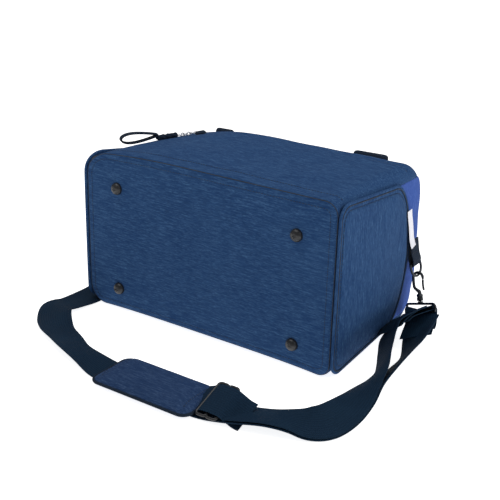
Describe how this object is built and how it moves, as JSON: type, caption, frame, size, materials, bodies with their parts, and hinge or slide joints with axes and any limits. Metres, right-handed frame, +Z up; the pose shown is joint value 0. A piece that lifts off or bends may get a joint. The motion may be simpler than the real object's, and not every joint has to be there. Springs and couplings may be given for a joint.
{
  "type": "pet carrier bag",
  "caption": "Soft rectangular pet carrier bag lying on its back side, with studded base, zipped roof flap, webbing handles and a detachable padded shoulder strap.",
  "frame": {"origin": "on the floor under the middle of the bag and its handles, strap and hooks left out", "axes": "+X along the bag, +Z up from the back side it lies on, +Y from the studded base towards the roof"},
  "size_m": [0.5717, 0.5066, 0.2478],
  "materials": {
    "heather": "two-tone woven polyester",
    "royal": "plain woven polyester",
    "webbing": "ribbed webbing",
    "strap": "ribbed webbing",
    "mesh": "open mesh",
    "board": "matte",
    "fleece": "soft pile",
    "plastic": "satin",
    "steel": "bright",
    "label": "satin ribbon"
  },
  "bodies": {
    "bag": {"back_handle_lug_left": "webbing", "back_handle_lug_right": "webbing", "back_panel": "heather", "back_shoulder": "heather", "base_board": "board", "base_panel": "heather", "care_label": "label", "foot_1": "plastic", "foot_2": "plastic", "foot_3": "plastic", "foot_4": "plastic", "foot_washer_1": "steel", "foot_washer_2": "steel", "foot_washer_3": "steel", "foot_washer_4": "steel", "front_handle_lug_left": "webbing", "front_handle_lug_right": "webbing", "front_panel": "heather", "front_shoulder": "heather", "left_end_gusset": "royal", "left_end_panel": "heather", "left_ring_tab": "webbing", "left_strap_ring": "steel", "pet_mat": "fleece", "right_end_gusset": "royal", "right_end_panel": "heather", "right_ring_tab": "webbing", "right_strap_ring": "steel", "roof_strip": "heather", "shoulder_pad": "heather", "shoulder_strap": "strap", "strap_adjuster": "plastic", "strap_return": "strap", "tether_anchor": "webbing", "tether_braid": "webbing", "tether_clip": "steel", "tether_loop": "webbing", "zip_tape_body": "webbing"},
    "flap": {"roof_flap": "heather", "roof_mesh": "mesh", "zip_tape_flap": "webbing"},
    "front_handle": {"front_handle": "webbing", "handle_wrap": "webbing"},
    "back_handle": {"back_handle": "webbing"},
    "slider_left": {"zip_slider_left": "steel"},
    "pull_left": {"zip_pull_left": "steel"},
    "left_ring": {"left_d_ring": "steel"},
    "left_hook": {"left_snap_hook": "steel"},
    "left_gate": {"left_hook_gate": "steel"},
    "slider_right": {"zip_slider_right": "steel"},
    "pull_right": {"zip_pull_right": "steel"},
    "right_ring": {"right_d_ring": "steel"},
    "right_hook": {"right_snap_hook": "steel"},
    "right_gate": {"right_hook_gate": "steel"}
  },
  "joints": [
    {"name": "roof_flap_hinge", "type": "hinge", "parent": "bag", "child": "flap", "pos_m": [0, 0.09755, 0.0499], "axis": [-1, 0, 0], "range_deg": [0, 80]},
    {"name": "zip_slide_left", "type": "slide", "parent": "bag", "child": "slider_left", "axis": [-1, 0, 0], "range_m": [0, 0.13]},
    {"name": "zip_pull_left_hinge", "type": "hinge", "parent": "slider_left", "child": "pull_left", "pos_m": [-0.0065, 0.10315, 0.1622], "axis": [0, 0, -1], "range_deg": [0, 150]},
    {"name": "zip_slide_right", "type": "slide", "parent": "bag", "child": "slider_right", "axis": [1, 0, 0], "range_m": [0, 0.13]},
    {"name": "zip_pull_right_hinge", "type": "hinge", "parent": "slider_right", "child": "pull_right", "pos_m": [0.0065, 0.10315, 0.1622], "axis": [0, 0, 1], "range_deg": [0, 150]},
    {"name": "front_handle_hinge", "type": "hinge", "parent": "bag", "child": "front_handle", "pos_m": [0, 0.09305, 0.2325], "axis": [0.9997, 0, 0.0262], "range_deg": [0, 150]},
    {"name": "back_handle_hinge", "type": "hinge", "parent": "bag", "child": "back_handle", "pos_m": [0, 0.08915, 0.0086], "axis": [1, 0, 0], "range_deg": [0, 15]},
    {"name": "left_d_ring_hinge", "type": "hinge", "parent": "bag", "child": "left_ring", "pos_m": [-0.2222, 0.06475, 0.101], "axis": [0, -1, 0], "range_deg": [0, 2]},
    {"name": "left_hook_swivel", "type": "hinge", "parent": "bag", "child": "left_hook", "pos_m": [-0.22807, 0.06475, 0.08293], "axis": [0.2995, 0.2196, 0.9285], "range_deg": [-12, 12]},
    {"name": "left_gate_hinge", "type": "hinge", "parent": "left_hook", "child": "left_gate", "pos_m": [-0.24153, 0.06041, 0.0646], "axis": [0, 0.9731, -0.2302], "range_deg": [0, 25], "stiffness_Nm_per_rad": 0.02},
    {"name": "right_d_ring_hinge", "type": "hinge", "parent": "bag", "child": "right_ring", "pos_m": [0.2222, 0.06475, 0.101], "axis": [0, 1, 0], "range_deg": [0, 2]},
    {"name": "right_hook_swivel", "type": "hinge", "parent": "bag", "child": "right_hook", "pos_m": [0.22807, 0.06475, 0.08293], "axis": [-0.2995, 0.2196, 0.9285], "range_deg": [-12, 12]},
    {"name": "right_gate_hinge", "type": "hinge", "parent": "right_hook", "child": "right_gate", "pos_m": [0.24153, 0.06041, 0.0646], "axis": [0, -0.9731, 0.2302], "range_deg": [0, 25], "stiffness_Nm_per_rad": 0.02}
  ]
}
